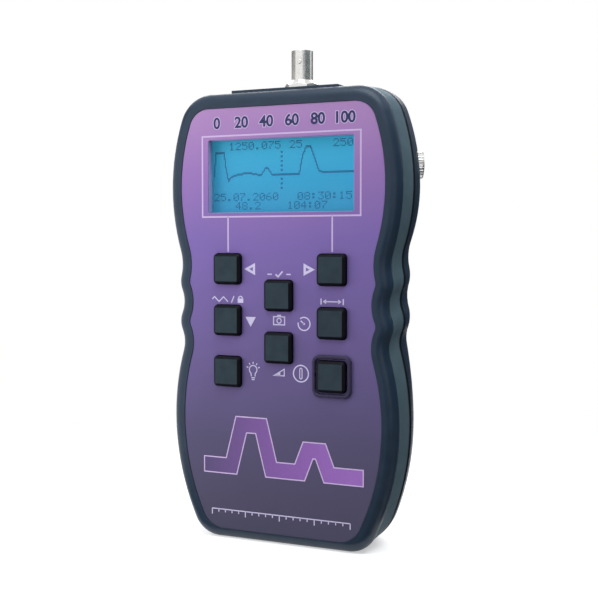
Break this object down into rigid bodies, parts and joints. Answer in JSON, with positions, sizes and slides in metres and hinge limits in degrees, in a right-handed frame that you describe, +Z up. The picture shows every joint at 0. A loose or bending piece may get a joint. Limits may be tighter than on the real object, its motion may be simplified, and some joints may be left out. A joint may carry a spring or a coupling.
{
  "type": "hand-held time domain reflectometer",
  "caption": "Upright waisted hand-held instrument with a recessed display, square push keys, soft side grips, a coaxial test socket on top, a round charge socket and a hinged battery door.",
  "frame": {"origin": "middle of the flat bottom end, at mid-depth of the case", "axes": "+Z up along the case towards the test socket, -Y out of the front face, +X to the right as seen from the front"},
  "size_m": [0.1138, 0.0422, 0.2189],
  "materials": {
    "shell": "fine moulded texture, dark blue-grey",
    "grip": "soft matte elastomer, a little lighter than the shells",
    "overlay": "printed polyester sheet, lilac fading to slate purple, pale lilac lines",
    "guard": "satin smoke grey",
    "window": "clear pane",
    "display_frame": "blackened sheet",
    "display_glass": "blue display glass",
    "display_light": "white light guide",
    "board": "green circuit board",
    "key": "dark grey, fine texture",
    "switch": "black",
    "plunger": "plain natural plastic",
    "chip": "black moulding",
    "nickel": "nickel plate",
    "insulator": "white insulator",
    "gold": "gold plate",
    "lead": "black jacket",
    "cell": "printed sleeve",
    "tray": "black moulding",
    "spring": "nickelled spring strip",
    "door": "fine moulded texture, dark blue-grey",
    "screw": "blackened steel",
    "insert": "turned brass",
    "gasket": "black seal"
  },
  "bodies": {
    "case": {"front_case": "shell", "rear_case": "shell", "left_grip": "grip", "right_grip": "grip", "case_gasket": "gasket", "front_overlay": "overlay", "power_key_guard": "guard", "display_window": "window", "lcd_bezel": "display_frame", "lcd_glass": "display_glass", "lcd_backlight": "display_light", "lcd_board": "board", "lcd_header": "switch", "lcd_screws": "screw", "main_board": "board", "board_screws": "screw", "board_chips": "chip", "tact_switches": "switch", "bnc_body": "nickel", "bnc_insulator": "insulator", "bnc_contact": "gold", "bnc_lock_washer": "nickel", "bnc_nut": "nickel", "bnc_lead": "lead", "charge_socket_barrel": "nickel", "charge_socket_insulator": "switch", "charge_socket_pin": "gold", "charge_socket_nut": "nickel", "battery_tray": "tray", "battery_cells": "cell", "battery_plates": "spring", "battery_springs": "spring", "case_screws": "screw", "case_inserts": "insert"},
    "left_top_key": {"key_left_top": "key", "plunger_left_top": "plunger"},
    "left_middle_key": {"key_left_middle": "key", "plunger_left_middle": "plunger"},
    "left_bottom_key": {"key_left_bottom": "key", "plunger_left_bottom": "plunger"},
    "centre_top_key": {"key_centre_top": "key", "plunger_centre_top": "plunger"},
    "centre_bottom_key": {"key_centre_bottom": "key", "plunger_centre_bottom": "plunger"},
    "right_top_key": {"key_right_top": "key", "plunger_right_top": "plunger"},
    "right_middle_key": {"key_right_middle": "key", "plunger_right_middle": "plunger"},
    "power_key": {"key_power": "key", "plunger_power": "plunger"},
    "door": {"battery_door": "door"}
  },
  "joints": [
    {"name": "left_top_key_press", "type": "slide", "parent": "case", "child": "left_top_key", "axis": [0, 1, 0], "range_m": [0, 0.0005], "stiffness_N_per_m": 1000, "springref_m": -0.0005},
    {"name": "left_middle_key_press", "type": "slide", "parent": "case", "child": "left_middle_key", "axis": [0, 1, 0], "range_m": [0, 0.0005], "stiffness_N_per_m": 1000, "springref_m": -0.0005},
    {"name": "left_bottom_key_press", "type": "slide", "parent": "case", "child": "left_bottom_key", "axis": [0, 1, 0], "range_m": [0, 0.0005], "stiffness_N_per_m": 1000, "springref_m": -0.0005},
    {"name": "centre_top_key_press", "type": "slide", "parent": "case", "child": "centre_top_key", "axis": [0, 1, 0], "range_m": [0, 0.0005], "stiffness_N_per_m": 1000, "springref_m": -0.0005},
    {"name": "centre_bottom_key_press", "type": "slide", "parent": "case", "child": "centre_bottom_key", "axis": [0, 1, 0], "range_m": [0, 0.0005], "stiffness_N_per_m": 1000, "springref_m": -0.0005},
    {"name": "right_top_key_press", "type": "slide", "parent": "case", "child": "right_top_key", "axis": [0, 1, 0], "range_m": [0, 0.0005], "stiffness_N_per_m": 1000, "springref_m": -0.0005},
    {"name": "right_middle_key_press", "type": "slide", "parent": "case", "child": "right_middle_key", "axis": [0, 1, 0], "range_m": [0, 0.0005], "stiffness_N_per_m": 1000, "springref_m": -0.0005},
    {"name": "power_key_press", "type": "slide", "parent": "case", "child": "power_key", "axis": [0, 1, 0], "range_m": [0, 0.0005], "stiffness_N_per_m": 1000, "springref_m": -0.0005},
    {"name": "battery_door_hinge", "type": "hinge", "parent": "case", "child": "door", "pos_m": [0, 0.0187, 0.0233], "axis": [-1, 0, 0], "range_deg": [0, 100]}
  ]
}
